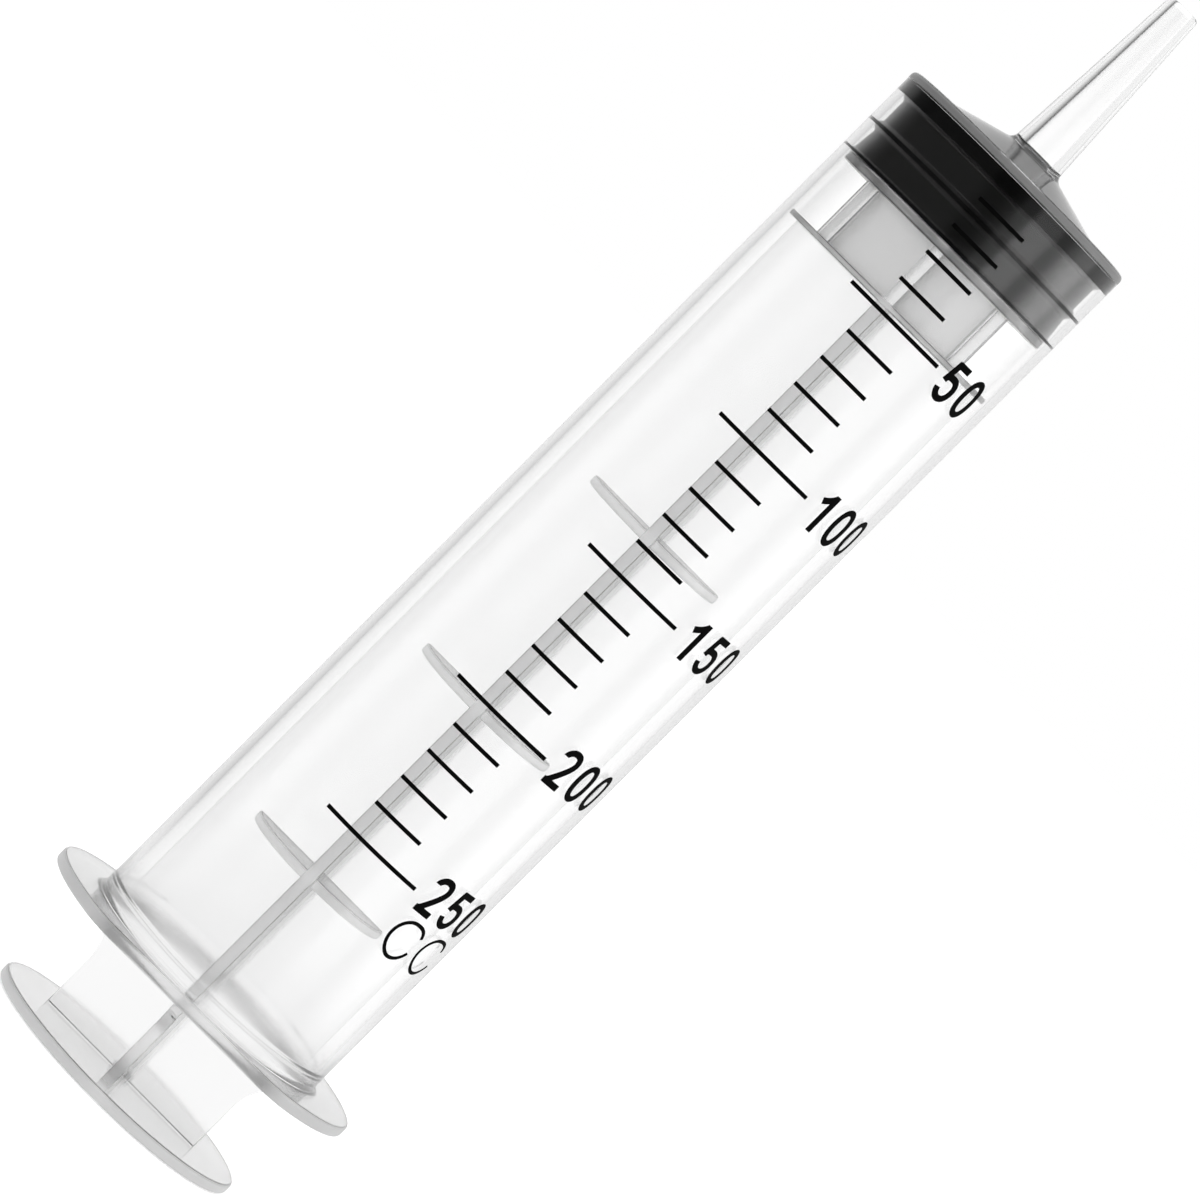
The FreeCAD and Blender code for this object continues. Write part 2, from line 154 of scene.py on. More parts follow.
def turn_section(name, outline, steps=CIRCLE_STEPS):
    """Spin a closed half section. Each corner of the outline is (radius, height, rounding) in mm."""
    first = Vector((outline[0][0], 0, outline[0][1])) * MM
    piece = add_primitive(name, bpy.ops.mesh.primitive_plane_add, size=MM, location=first)
    edit(piece)
    bpy.ops.mesh.select_all(action="SELECT")
    bpy.ops.mesh.merge(type="CENTER")
    for (radius, height, _), (next_radius, next_height, _) in zip(outline, outline[1:]):
        step = Vector((next_radius - radius, 0, next_height - height)) * MM
        bpy.ops.mesh.extrude_region_move(TRANSFORM_OT_translate={"value": step})
    ends = [Vector((outline[index][0], 0, outline[index][1])) * MM for index in (0, -1)]
    pick(piece, "VERT", lambda point: any((point.co - end).length < 1e-6 for end in ends))
    bpy.ops.mesh.edge_face_add()
    round_corners(piece, outline)
    bpy.ops.mesh.select_all(action="SELECT")
    bpy.ops.mesh.spin(steps=steps, angle=math.tau, center=(0, 0, 0), axis=(0, 0, 1))
    bpy.ops.mesh.select_all(action="SELECT")
    bpy.ops.mesh.remove_doubles(threshold=1e-6)
    bpy.ops.mesh.normals_make_consistent(inside=False)
    stop_editing()
    return piece


def round_corners(piece, outline):
    """Bevel the section's corners, one at a time, to their own radius."""
    count = len(outline)
    for index, (radius, height, rounding) in enumerate(outline):
        if rounding == 0:
            continue
        corner = Vector((radius, 0, height)) * MM
        before, after = outline[index - 1], outline[(index + 1) % count]
        arriving = corner - Vector((before[0], 0, before[1])) * MM
        leaving = Vector((after[0], 0, after[1])) * MM - corner
        setback = rounding * MM * math.tan(arriving.angle(leaving) / 2)
        pick(piece, "VERT", lambda point: (point.co - corner).length < 1e-6)
        bpy.ops.mesh.bevel(
            offset=setback, segments=SECTION_ROUND_STEPS, affect="VERTICES", clamp_overlap=False
        )


# %% [markdown]
# ## Barrel
# The barrel is one clear moulding: a finger flange, a tube that narrows by two tenths of a
# millimetre towards the front, a flat ring with a low cone, and the tapered nozzle with its open
# passage. Light bends through its walls, so the section is drawn with both skins and real
# thickness, and its edges are rounded as the mould rounds them.

# %% Turn the barrel
BORE_RADIUS = 22.8
MOUTH_HEIGHT = 20.4
MOUTH_RADIUS = 24.45
FRONT_HEIGHT = 212.8
INNER_FRONT = 211.0
FRONT_RADIUS = 24.25
FLANGE_RADIUS = 33.0
FLANGE_FRONT = 22.65
NOZZLE_TIP = 251.0

barrel = turn_section(
    "clear_barrel",
    [
        (23.3, MOUTH_HEIGHT, 0.2),
        (FLANGE_RADIUS, MOUTH_HEIGHT, 0.55),
        (FLANGE_RADIUS, FLANGE_FRONT, 0.55),
        (MOUTH_RADIUS, FLANGE_FRONT, 1.2),
        (FRONT_RADIUS, FRONT_HEIGHT, 1.0),
        (17.6, FRONT_HEIGHT + 0.05, 0.8),
        (5.05, 216.25, 1.6),
        (3.12, NOZZLE_TIP, 0.7),
        (1.8, NOZZLE_TIP, 0.15),
        (3.0, 214.7, 0.6),
        (17.1, INNER_FRONT, 0.8),
        (BORE_RADIUS, INNER_FRONT, 0.15),
        (BORE_RADIUS, 26.0, 0.6),
        (BORE_RADIUS - 0.25, 25.4, 0.6),
        (BORE_RADIUS, 24.8, 0.6),
        (BORE_RADIUS, 20.9, 0.2),
    ],
)

# %% [markdown]
# The flange isn't round: two flats, front and back, cut the disc, with rounded corners between. The
# spun rim already has its rounded edge, so the rim's points are slid along their rays on to the
# flange's true outline, and the edge keeps its shape all round.

# %% Shape the flange
FLAT_DISTANCE = 26.2
CORNER_ROUND = 9.0
CORNER_CENTRE = Vector((16.74, 17.2))
RIM_STARTS = 30.0


def outline_radius(angle, inset):
    """How far the flange reaches along a ray, for a line that lies inset mm inside its outline."""
    slope = math.atan2(abs(math.sin(angle)), abs(math.cos(angle)))
    centre_angle = math.atan2(CORNER_CENTRE.y, CORNER_CENTRE.x)
    if slope < centre_angle:
        return FLANGE_RADIUS - inset
    swing = slope - centre_angle
    reach = CORNER_CENTRE.length
    corner_round = CORNER_ROUND - inset
    half_chord = math.sqrt(max(0, corner_round**2 - (reach * math.sin(swing)) ** 2))
    on_corner = reach * math.cos(swing) + half_chord
    if on_corner * math.cos(slope) > CORNER_CENTRE.x:
        return on_corner
    return (FLAT_DISTANCE - inset) / math.sin(slope)


for point in barrel.data.vertices:
    reach = math.hypot(point.co.x, point.co.y) / MM
    if reach > RIM_STARTS:
        angle = math.atan2(point.co.y, point.co.x)
        stretch = outline_radius(angle, FLANGE_RADIUS - reach) / reach
        point.co.x *= stretch
        point.co.y *= stretch
finish_surface(barrel)

# %% [markdown]
# ## Piston
# The piston is one piece of soft black rubber, hollow behind, with a wide front lip and two thin
# ribs that wipe the bore. The lips are wetted against the wall, which is why they look black right
# to the edge of the barrel, so here they reach a hair into it. The grooves between stay clear.

# %% Turn the piston
PISTON_RADIUS = 22.75
LIP_RADIUS = 22.82
GROOVE_RADIUS = 22.0

piston = turn_section(
    "rubber_cap",
    [
        (18.4, 196.0, 0.3),
        (PISTON_RADIUS - 0.15, 196.0, 0.1),
        (LIP_RADIUS, 196.1, 0.05),
        (LIP_RADIUS, 196.5, 0.1),
        (PISTON_RADIUS - 0.3, 196.9, 0.3),
        (GROOVE_RADIUS, 201.1, 0.5),
        (LIP_RADIUS, 201.85, 0.2),
        (LIP_RADIUS, 202.45, 0.2),
        (GROOVE_RADIUS, 203.2, 0.5),
        (GROOVE_RADIUS, 207.9, 0.5),
        (LIP_RADIUS, 208.55, 0.2),
        (LIP_RADIUS, 210.95, 0.1),
        (PISTON_RADIUS - 0.3, 210.95, 0.1),
        (PISTON_RADIUS - 0.8, 210.85, 0.2),
        (17.8, 210.85, 0.3),
        (16.6, 211.2, 0.3),
        (3.6, 214.58, 0.5),
        (0.02, 214.56, 0),
        (0.02, 207.0, 0),
        (18.4, 207.0, 0.2),
        (19.3, 206.1, 0.2),
        (19.3, 205.1, 0.2),
        (18.4, 204.2, 0.2),
    ],
)
finish_surface(piston)

# %% [markdown]
# ## Plunger rod
# The rod is one slightly milky moulding: a thumb plate, two crossed fins that flare out from the
# handle, three short half-round webs, a guide disc, a square hollow neck with the fins crossing inside,
# and the head that the piston snaps over. Each form is modelled with its own rounded edges and
# reaches half-way into its neighbour. A union then makes them one skin with nothing left inside,
# which matters in a clear plastic, where any buried wall would show.

# %% Discs and webs
def make_disc(name, radius, low, high, rounding):
    """A round plate across the axis, with rounded rims. Sizes in mm."""
    piece = add_primitive(
        name,
        bpy.ops.mesh.primitive_cylinder_add,
        vertices=CIRCLE_STEPS,
        radius=radius * MM,
        depth=(high - low) * MM,
        location=(0, 0, (low + high) / 2 * MM),
    )
    edit(piece)
    rim_distance = (radius - 0.05) * MM
    pick(
        piece,
        "EDGE",
        lambda edge: middle(edge).xy.length > rim_distance and edge_span(edge).z < 1e-7,
    )
    bpy.ops.mesh.bevel(offset=rounding * MM, segments=5, affect="EDGES")
    stop_editing()
    return piece


PLATE_RADIUS = 26.2
PLATE_THICKNESS = 2.1
DISC_RADIUS = 22.4
WEB_COUNT = 3
WEB_RADIUS = 14.4
WEB_THICKNESS = 1.75
WEB_HEIGHT = 48.2
WEB_PITCH = 39.35
thumb_plate = make_disc("thumb_plate", PLATE_RADIUS, 0, PLATE_THICKNESS, 0.6)
guide_disc = make_disc("guide_disc", DISC_RADIUS, 181.6, 182.6, 0.25)
webs = []
for number in range(WEB_COUNT):
    low = WEB_HEIGHT + WEB_PITCH * number
    web = make_disc(f"web_{number}", WEB_RADIUS, low, low + WEB_THICKNESS, 0.5)
    edit(web)
    bpy.ops.mesh.select_all(action="SELECT")
    bpy.ops.mesh.bisect(plane_co=(0, 0, 0), plane_no=(0, 1, 0), clear_outer=True, use_fill=True)
    stop_editing()
    webs.append(web)
print("discs:", [piece.name for piece in (thumb_plate, guide_disc, *webs)])

# %% [markdown]
# A fin is a flat plate that starts narrow at the handle, sweeps out in a hollow curve and runs up at
# full width. It starts as a thin slab whose top is extruded and widened from station to station,
# and then its long edges are rounded.

# %% Fins
FIN_THICKNESS = 2.1
FIN_EDGE_ROUND = 0.28
CROSS_EDGE_ROUND = 0.1
HANDLE_HALF_WIDTH = 17.2
HANDLE_HEIGHT = 11.5
FIN_HALF_WIDTH = 20.6
FLARE_RADIUS = 9.2
FLARE_STEPS = 10


def flare_stations():
    """The half-widths and heights of the hollow sweep above the handle."""
    last_turn = math.acos(1 - (FIN_HALF_WIDTH - HANDLE_HALF_WIDTH) / FLARE_RADIUS)
    turns = [last_turn * step / FLARE_STEPS for step in range(FLARE_STEPS + 1)]
    stations = []
    for turn in turns:
        half_width = HANDLE_HALF_WIDTH + FLARE_RADIUS * (1 - math.cos(turn))
        stations.append((half_width, HANDLE_HEIGHT + FLARE_RADIUS * math.sin(turn)))
    return stations


def make_fin(name, stations, rounding, facing):
    """A plate across the axis through (half width, height) stations in mm, turned by facing degrees."""
    (half_width, low), (_, first_top) = stations[0], stations[1]
    piece = add_primitive(
        name,
        bpy.ops.mesh.primitive_cube_add,
        size=1,
        scale=(2 * half_width * MM, FIN_THICKNESS * MM, (first_top - low) * MM),
        location=(0, 0, (low + first_top) / 2 * MM),
    )
    edit(piece)
    height = first_top
    half = half_width
    for next_half, next_height in stations[2:]:
        top = (height - 0.01) * MM
        pick(piece, "FACE", lambda face: face.normal.z > 0.9 and face.calc_center_median().z > top)
        step = (0, 0, (next_height - height) * MM)
        bpy.ops.mesh.extrude_region_move(TRANSFORM_OT_translate={"value": step})
        bpy.ops.transform.resize(value=(next_half / half, 1, 1), center_override=(0, 0, 0))
        half, height = next_half, next_height
    pick(piece, "EDGE", lambda edge: edge_span(edge).x < 0.8 * edge_span(edge).z)
    bpy.ops.mesh.bevel(offset=rounding * MM, segments=3, affect="EDGES")
    bpy.ops.mesh.select_all(action="SELECT")
    bpy.ops.transform.rotate(value=math.radians(facing), orient_axis="Z", center_override=(0, 0, 0))
    stop_editing()
    return piece


main_stations = [(HANDLE_HALF_WIDTH, 1.05), (HANDLE_HALF_WIDTH, HANDLE_HEIGHT)]
main_stations += flare_stations()[1:] + [(FIN_HALF_WIDTH, 182.0)]
cross_stations = [(14.65, 182.2), (14.65, 195.0), (17.5, 195.1), (17.5, 206.9)]
fins = [
    make_fin("side_fin", main_stations, FIN_EDGE_ROUND, 0),
    make_fin("front_fin", main_stations, FIN_EDGE_ROUND, 90),
]
crosses = [
    make_fin("side_cross", cross_stations, CROSS_EDGE_ROUND, 0),
    make_fin("front_cross", cross_stations, CROSS_EDGE_ROUND, 90),
]
print("fins:", [[round(number / MM, 1) for number in piece.dimensions] for piece in fins + crosses])

# %% [markdown]
# The neck is a square block with a square hollow, so that its four walls are even. Both start as
# cubes whose upright edges are bevelled, and the one is cut from the other.

# %% Neck and head
NECK_HALF_SIDE = 15.7
NECK_WALL = 2.1
HEAD_BORE = 16.7


def make_block(name, half_side, low, high, rounding):
    """A square block round the axis, with rounded upright edges."""
    piece = add_primitive(
        name,
        bpy.ops.mesh.primitive_cube_add,
        size=1,
        scale=(2 * half_side * MM, 2 * half_side * MM, (high - low) * MM),
        location=(0, 0, (low + high) / 2 * MM),
    )
    edit(piece)
    pick(piece, "EDGE", lambda edge: edge_span(edge).z > MM)
    bpy.ops.mesh.bevel(offset=rounding * MM, segments=4, affect="EDGES")
    stop_editing()
    return piece


neck = make_block("neck", NECK_HALF_SIDE, 182.1, 195.1, 0.5)
hollow = make_block("hollow", NECK_HALF_SIDE - NECK_WALL, 182.0, 196.0, 0.8)

head = turn_section(
    "head",
    [
        (HEAD_BORE, 194.35, 0),
        (DISC_RADIUS, 194.35, 0.3),
        (DISC_RADIUS, 195.9, 0.3),
        (18.3, 195.9, 0.2),
        (18.3, 204.3, 0.2),
        (19.2, 205.2, 0.2),
        (19.2, 206.0, 0.2),
        (18.3, 206.9, 0.2),
        (HEAD_BORE, 206.9, 0.2),
    ],
)

# %% [markdown]
# The moulding is one solid, so its pieces are joined by exact unions, one after the other. Each union
# is a modifier that is applied at once. Last, the whole rod is turned a little about its axis, as it
# was when the photograph was taken: its near fin shows a sliver of its side.

# %% Join the rod into one skin
def combine(base, other, operation):
    """Apply one exact boolean and delete the piece that was used up."""
    modifier = base.modifiers.new("combine", "BOOLEAN")
    modifier.operation = operation
    modifier.solver = "EXACT"
    modifier.object = other
    bpy.ops.object.select_all(action="DESELECT")
    bpy.context.view_layer.objects.active = base
    bpy.ops.object.modifier_apply(modifier=modifier.name)
    bpy.data.objects.remove(other)


ROD_TURN = math.radians(-2.3)
combine(neck, hollow, "DIFFERENCE")
rod = fins[0]
rod.name = "finned_rod"
for piece in (fins[1], thumb_plate, *webs, guide_disc, neck, head, *crosses):
    combine(rod, piece, "UNION")
rod.data.transform(Matrix.Rotation(ROD_TURN, 4, "Z"))
finish_surface(rod)

# %% [markdown]
# ## Printed scale
# The scale is black ink on the outside of the barrel: a line every 10 cubic centimetres, longer at
# every 50, with numerals beside those. Ink is thin, but as real geometry it casts its own edge and
# keeps its place in the model. One short and one long line are spun a little way round
# the axis, and their copies are moved up and fitted to the drafted wall.

# %% Scale lines
INK_THICKNESS = 0.035
INK_REACH_IN = 0.02
LINE_WIDTH = 0.72
SHORT_LINE_ANGLES = (-4.5, 19.5)
LONG_LINE_ANGLES = (-16.7, 31.5)
DEGREES_PER_STEP = 1.5
START_LENGTH = 0.01
MM_PER_CC = 0.6
ZERO_HEIGHT = 210.85


def wall_radius(height):
    """The barrel's outside radius in mm at a height in mm."""
    share = (height - MOUTH_HEIGHT) / (FRONT_HEIGHT - MOUTH_HEIGHT)
    return MOUTH_RADIUS + (FRONT_RADIUS - MOUTH_RADIUS) * share


def make_line(name, start_degrees, end_degrees):
    """One line of ink at height zero, from one angle to another, measured from -Y towards +X."""
    radius = MOUTH_RADIUS + (INK_THICKNESS - INK_REACH_IN) / 2
    depth = INK_THICKNESS + INK_REACH_IN
    piece = add_primitive(
        name,
        bpy.ops.mesh.primitive_cube_add,
        size=1,
        scale=(START_LENGTH * MM, depth * MM, LINE_WIDTH * MM),
        location=(0, -radius * MM, 0),
    )
    edit(piece)
    pick(piece, "FACE", lambda face: face.normal.x < 0.9)
    bpy.ops.mesh.delete(type="FACE")
    bpy.ops.mesh.select_all(action="SELECT")
    sweep = math.radians(end_degrees - start_degrees)
    steps = round((end_degrees - start_degrees) / DEGREES_PER_STEP)
    bpy.ops.mesh.spin(steps=steps, angle=-sweep, center=(0, 0, 0), axis=(0, 0, 1))
    bpy.ops.mesh.select_all(action="SELECT")
    bpy.ops.mesh.normals_make_consistent(inside=False)
    stop_editing()
    angles = [math.atan2(point.co.x, -point.co.y) for point in piece.data.vertices]
    turn_back = math.radians(start_degrees) - min(angles)
    piece.data.transform(Matrix.Rotation(turn_back, 4, "Z"))
    return piece


def copy_line(line, height):
    """A copy of a line at its height, drawn in to the wall there."""
    copy = line.copy()
    copy.data = line.data.copy()
    bpy.context.collection.objects.link(copy)
    fit = wall_radius(height) / MOUTH_RADIUS
    copy.data.transform(Matrix.Translation((0, 0, height * MM)) @ Matrix.Diagonal((fit, fit, 1, 1)))
    return copy


def join(pieces, name):
    """Join several pieces into one object."""
    bpy.ops.object.select_all(action="DESELECT")
    for piece in pieces:
        piece.select_set(True)
    bpy.context.view_layer.objects.active = pieces[0]
    bpy.ops.object.join()
    pieces[0].name = name
    pieces[0].data.name = name
    return pieces[0]


short_line = make_line("short_line", *SHORT_LINE_ANGLES)
long_line = make_line("long_line", *LONG_LINE_ANGLES)
lines = []
for volume in range(10, 260, 10):
    source = long_line if volume % 50 == 0 else short_line
    lines.append(copy_line(source, ZERO_HEIGHT - MM_PER_CC * volume))
bpy.data.objects.remove(short_line)
bpy.data.objects.remove(long_line)
scale_lines = join(lines, "scale_lines")
print("scale lines:", len(lines))

# %% [markdown]
# Numerals could be text, but the built-in letters are too wide and too light. Here each figure is a
# few Bezier strokes, drawn flat. A round bevel gives a stroke its width and is pressed to a film,
# and then every point is laid round the wall by its arc length.

# %% Draw the strokes of the figures
# Each stroke is a list of points (x, z) with a handle (dx, dz) that leads out of the point.
BOLD_WIDTH = 1.22
THIN_WIDTH = 0.7
FIGURES = {
    "0": [
        ("closed", [(2.15, 3.27, -1.1, 0), (0.53, 0, 0, -1.9), (2.15, -3.27, 1.1, 0), (3.77, 0, 0, 1.9)]),
    ],
    "1": [
        ("open", [(2.75, 3.8, 0, -0.5), (2.75, -3.8, 0, -0.5)]),
        ("open", [(2.6, 3.3, -0.4, -0.9), (0.5, 1.55, -0.4, -0.2)]),
    ],
    "2": [
        ("open", [(0.5, 1.9, 0, 0.5), (2.1, 3.27, 1, 0), (3.6, 1.6, 0, -1.2), (0.75, -3.3, -0.3, -0.5)]),
        ("open", [(0.1, -3.27, 1, 0), (4.1, -3.27, 1, 0)]),
    ],
    "5": [
        ("open", [(0.75, 3.24, 1, 0), (3.75, 3.24, 1, 0)]),
        ("open", [(1.12, 3.7, -0.1, -1.2), (0.62, -0.35, -0.1, -0.6)]),
        (
            "open",
            [(0.55, 0.1, 0.6, 0.7), (2.2, 0.75, 1, 0), (3.75, -1.2, 0, -1.2), (2.1, -3.27, -0.9, 0)]
            + [(0.55, -1.75, -0.1, 0.6)],
        ),
    ],
    "C": [
        (
            "open",
            [(6.7, 1.9, -0.5, 1.2), (3.6, 3.6, -1.9, 0), (0.35, 0.1, 0, -1.9), (3.5, -3.6, 1.6, 0)]
            + [(6.7, -1.3, 0.5, 1.2)],
        ),
    ],
}


def draw_figures(name, figures, height, width):
    """A flat mesh of several figures, each (letter, start in mm along the wall), at one height."""
    bpy.ops.object.select_all(action="DESELECT")
    curve = bpy.data.curves.new(name, "CURVE")
    curve.dimensions = "3D"
    curve.bevel_depth = width / 2 * MM
    curve.bevel_resolution = 2
    curve.use_fill_caps = True
    curve.resolution_u = 8
    for letter, start in figures:
        for closing, points in FIGURES[letter]:
            spline = curve.splines.new("BEZIER")
            spline.bezier_points.add(len(points) - 1)
            spline.use_cyclic_u = closing == "closed"
            for knot, (across, up, handle_across, handle_up) in zip(spline.bezier_points, points):
                place = Vector((start + across, 0, height + up)) * MM
                handle = Vector((handle_across, 0, handle_up)) * MM
                knot.co = place
                knot.handle_left = place - handle
                knot.handle_right = place + handle
    drawing = bpy.data.objects.new(name, curve)
    bpy.context.collection.objects.link(drawing)
    drawing.select_set(True)
    bpy.context.view_layer.objects.active = drawing
    bpy.ops.object.convert(target="MESH")
    return bpy.context.object


def lay_on_wall(piece, width):
    """Press the strokes to a film and lay them round the barrel by arc length."""
    press = INK_THICKNESS / (width / 2)
    for point in piece.data.vertices:
        height = point.co.z / MM
        angle = point.co.x / MM / MOUTH_RADIUS
        radius = wall_radius(height) - point.co.y / MM * press
        point.co = Vector((radius * math.sin(angle), -radius * math.cos(angle), height)) * MM


FIRST_FIGURE = math.radians(36.4) * MOUTH_RADIUS
FIGURE_PITCH = math.radians(13.7) * MOUTH_RADIUS
UNIT_STARTS = [math.radians(degrees) * MOUTH_RADIUS for degrees in (36.7, 56.5)]
UNIT_HEIGHT = 53.1
FIGURE_ZERO_HEIGHT = 210.1
FIGURE_MM_PER_CC = 0.592
numerals = []
for volume in range(50, 300, 50):
    letters = enumerate(str(volume))
    figures = [(letter, FIRST_FIGURE + FIGURE_PITCH * index) for index, letter in letters]
    height = FIGURE_ZERO_HEIGHT - FIGURE_MM_PER_CC * volume
    piece = draw_figures(f"numeral_{volume}", figures, height, BOLD_WIDTH)
    lay_on_wall(piece, BOLD_WIDTH)
    numerals.append(piece)
unit = draw_figures("unit", [("C", start) for start in UNIT_STARTS], UNIT_HEIGHT, THIN_WIDTH)
lay_on_wall(unit, THIN_WIDTH)
scale_figures = join(numerals + [unit], "scale_figures")
print("scale figures:", len(scale_figures.data.polygons), "faces")

# %% [markdown]
# ## Shader maths
# Material patterns are small sums. One class wraps a socket and overloads + - * /, so that a pattern
# is written as an ordinary expression, and one method makes every other node.

# %% Socket maths and node making
class Signal:
    """One output socket. Sums and products of signals add Math nodes."""

    def __init__(self, socket):
        self.socket = socket

    def add_math(self, operation, left, right):
        node = self.socket.id_data.nodes.new("ShaderNodeMath")
        node.operation = operation
        plug(node.inputs[0], left)
        plug(node.inputs[1], right)
        return Signal(node.outputs[0])

    def __add__(self, other):
        return self.add_math("ADD", self, other)

    def __sub__(self, other):
        return self.add_math("SUBTRACT", self, other)

    def __rsub__(self, other):
        return self.add_math("SUBTRACT", other, self)

    def __mul__(self, other):
        return self.add_math("MULTIPLY", self, other)

    def __truediv__(self, other):
        return self.add_math("DIVIDE", self, other)

    __radd__ = __add__
    __rmul__ = __mul__


def plug(slot, value):
    """Link a signal to an input, or set the input's own number."""
    if isinstance(value, Signal):
        slot.id_data.links.new(value.socket, slot)
    else:
        slot.default_value = value


class Finish:
    """A material, or the world, and the nodes in it."""

    def __init__(self, owner):
        owner.use_nodes = True
        self.owner = owner
        self.tree = owner.node_tree
        self.tree.nodes.clear()

    def node(self, kind, settings, sockets, output=0):
        """Make a node: its settings or a ramp's stops first, then its sockets' values or links."""
        made = self.tree.nodes.new("ShaderNode" + kind)
        for name, value in settings.items():
            if name == "stops":
                set_stops(made.color_ramp.elements, value)
            else:
                setattr(made, name, value)
        for name, value in sockets.items():
            plug(made.inputs[name], value)
        return Signal(made.outputs[output]) if made.outputs else made

    def noise(self, scale, detail=2.0, stretch=(1, 1, 1)):
        """Noise on Object coordinates, stretched along an axis by the Mapping node."""
        place = self.node("TexCoord", {}, {}, "Object")
        mapped = self.node("Mapping", {}, {"Vector": place, "Scale": stretch})
        return self.node("TexNoise", {}, {"Vector": mapped, "Scale": scale, "Detail": detail}, "Fac")

    def height(self):
        """The height of a point above the thumb plate's rear face, in metres."""
        place = self.node("TexCoord", {}, {}, "Object")
        return self.node("SeparateXYZ", {}, {"Vector": place}, "Z")

    def outward(self):
        """The distance from the axis, and how squarely the surface faces away from it or towards it."""
        place = self.node("TexCoord", {}, {}, "Object")
        flat = self.node("VectorMath", {"operation": "MULTIPLY"}, {0: place, 1: (1, 1, 0)}, "Vector")
        distance = self.node("VectorMath", {"operation": "LENGTH"}, {0: flat}, "Value")
        direction = self.node("VectorMath", {"operation": "NORMALIZE"}, {0: flat}, "Vector")
        normal = self.node("TexCoord", {}, {}, "Normal")
        facing = self.node("VectorMath", {"operation": "DOT_PRODUCT"}, {0: normal, 1: direction}, "Value")
        return distance, self.node("Math", {"operation": "ABSOLUTE"}, {0: facing})

    def rise(self, value, start, end):
        """A share that goes from 0 at start to 1 at end, and stays level outside."""
        return self.node("MapRange", {}, {"Value": value, "From Min": start, "From Max": end})

    def grey(self, value):
        """A colour whose three channels are one signal."""
        return self.node("CombineColor", {}, {"Red": value, "Green": value, "Blue": value})


def set_stops(points, stops):
    """Give a colour ramp its (position, grey level) stops."""
    while len(points) < len(stops):
        points.new(0.5)
    for point, (position, level) in zip(points, stops):
        point.position = position
        point.color = (level, level, level, 1)


# %% [markdown]
# ## Clear polypropylene
# The barrel is glossy and clear, and looks grey only where it is seen edge-on. Volume absorption
# darkens light by the distance it goes, so thick edges turn grey and thin walls stay bright. Real
# polypropylene is also a little cloudy, which shows most at the rims, where light comes out after a
# long way: they look evenly grey, as if frosted. So the rims are mixed with a matte grey, and they
# are found by their place and by how squarely they face away from the axis.

# %% Make the clear plastic
PLASTIC_IOR = 1.49
CLEAR_DENSITY = 10.0
clear = Finish(bpy.data.materials.new("clear_polypropylene_look"))
flow = clear.noise(60.0, 2.0, (1, 1, 0.04))
haze = clear.noise(900.0, 3.0)
height = clear.height()
distance, facing = clear.outward()
front_ring = clear.rise(height, 0.2111, 0.2114) * clear.rise(height, 0.2130, 0.2128)
flange_rim = clear.rise(distance, 0.0252, 0.0256) * clear.rise(facing, 0.3, 0.6)
round_end = clear.rise(distance, 0.0315, 0.0329)
mouth = clear.rise(height, 0.032, 0.026)
nozzle = clear.rise(height, 0.2134, 0.2162)
bump = clear.node("Bump", {}, {"Strength": 0.02, "Distance": 0.0004, "Height": flow})
body = clear.node(
    "BsdfPrincipled",
    {},
    {
        "Base Color": clear.grey(0.99 + 0.01 * haze),
        "Roughness": 0.02 + 0.03 * haze + 0.1 * nozzle + 0.12 * mouth + 0.3 * flange_rim,
        "IOR": PLASTIC_IOR,
        "Transmission Weight": 1.0,
        "Normal": bump,
    },
)
rim = clear.node(
    "BsdfPrincipled",
    {},
    {
        "Base Color": clear.grey(0.2 + 0.03 * haze + 0.5 * flange_rim),
        "Roughness": 0.4 + 0.1 * haze,
        "Normal": bump,
    },
)
ring_edge = front_ring * clear.rise(facing, 0.45, 0.8)
rim_share = 0.85 * ring_edge + 0.35 * flange_rim * (1 + round_end)
surface = clear.node("MixShader", {}, {0: rim_share, 1: body, 2: rim})
absorption = clear.node("VolumeAbsorption", {}, {"Color": (0, 0, 0, 1), "Density": CLEAR_DENSITY})
clear.node("OutputMaterial", {}, {"Surface": surface, "Volume": absorption})

# %% [markdown]
# ## Milky polypropylene
# The rod is the same plastic, a little cloudier, so its faces blur what is behind them and its edges
# are greyer: the front fin, the webs and the discs show as even grey bars. So the edges are frosted a
# little more, and the thumb plate's rim is mixed with a matte skin. The hollow neck comes off its core
# with a dull skin too.

# %% Make the milky plastic
MILKY_DENSITY = 2.5
milky = Finish(bpy.data.materials.new("milky_polypropylene_look"))
cloud = milky.noise(45.0, 3.0, (1, 1, 0.15))
grain = milky.noise(1500.0, 2.0)
height = milky.height()
distance, facing = milky.outward()
neck_walls = milky.rise(height, 0.1824, 0.1827) * milky.rise(height, 0.1945, 0.1943)
edge = milky.rise(facing, 0.4, 0.7) * (1 - neck_walls)
plate_rim = milky.rise(height, 0.0035, 0.0028) * edge
bump = milky.node("Bump", {}, {"Strength": 0.08, "Distance": 0.0003, "Height": cloud + 0.15 * grain})
body = milky.node(
    "BsdfPrincipled",
    {},
    {
        "Base Color": milky.grey(0.97 + 0.03 * cloud),
        "Roughness": 0.11 + 0.06 * cloud + 0.08 * neck_walls + 0.25 * edge,
        "IOR": PLASTIC_IOR,
        "Transmission Weight": 0.98,
        "Normal": bump,
    },
)
skin = milky.node(
    "BsdfPrincipled",
    {},
    {
        "Base Color": milky.grey(0.68 + 0.1 * cloud),
        "Roughness": 0.4 + 0.1 * grain,
        "Normal": bump,
    },
)
surface = milky.node("MixShader", {}, {0: 0.7 * plate_rim, 1: body, 2: skin})
absorption = milky.node("VolumeAbsorption", {}, {"Color": (0, 0, 0, 1), "Density": MILKY_DENSITY})
milky.node("OutputMaterial", {}, {"Surface": surface, "Volume": absorption})

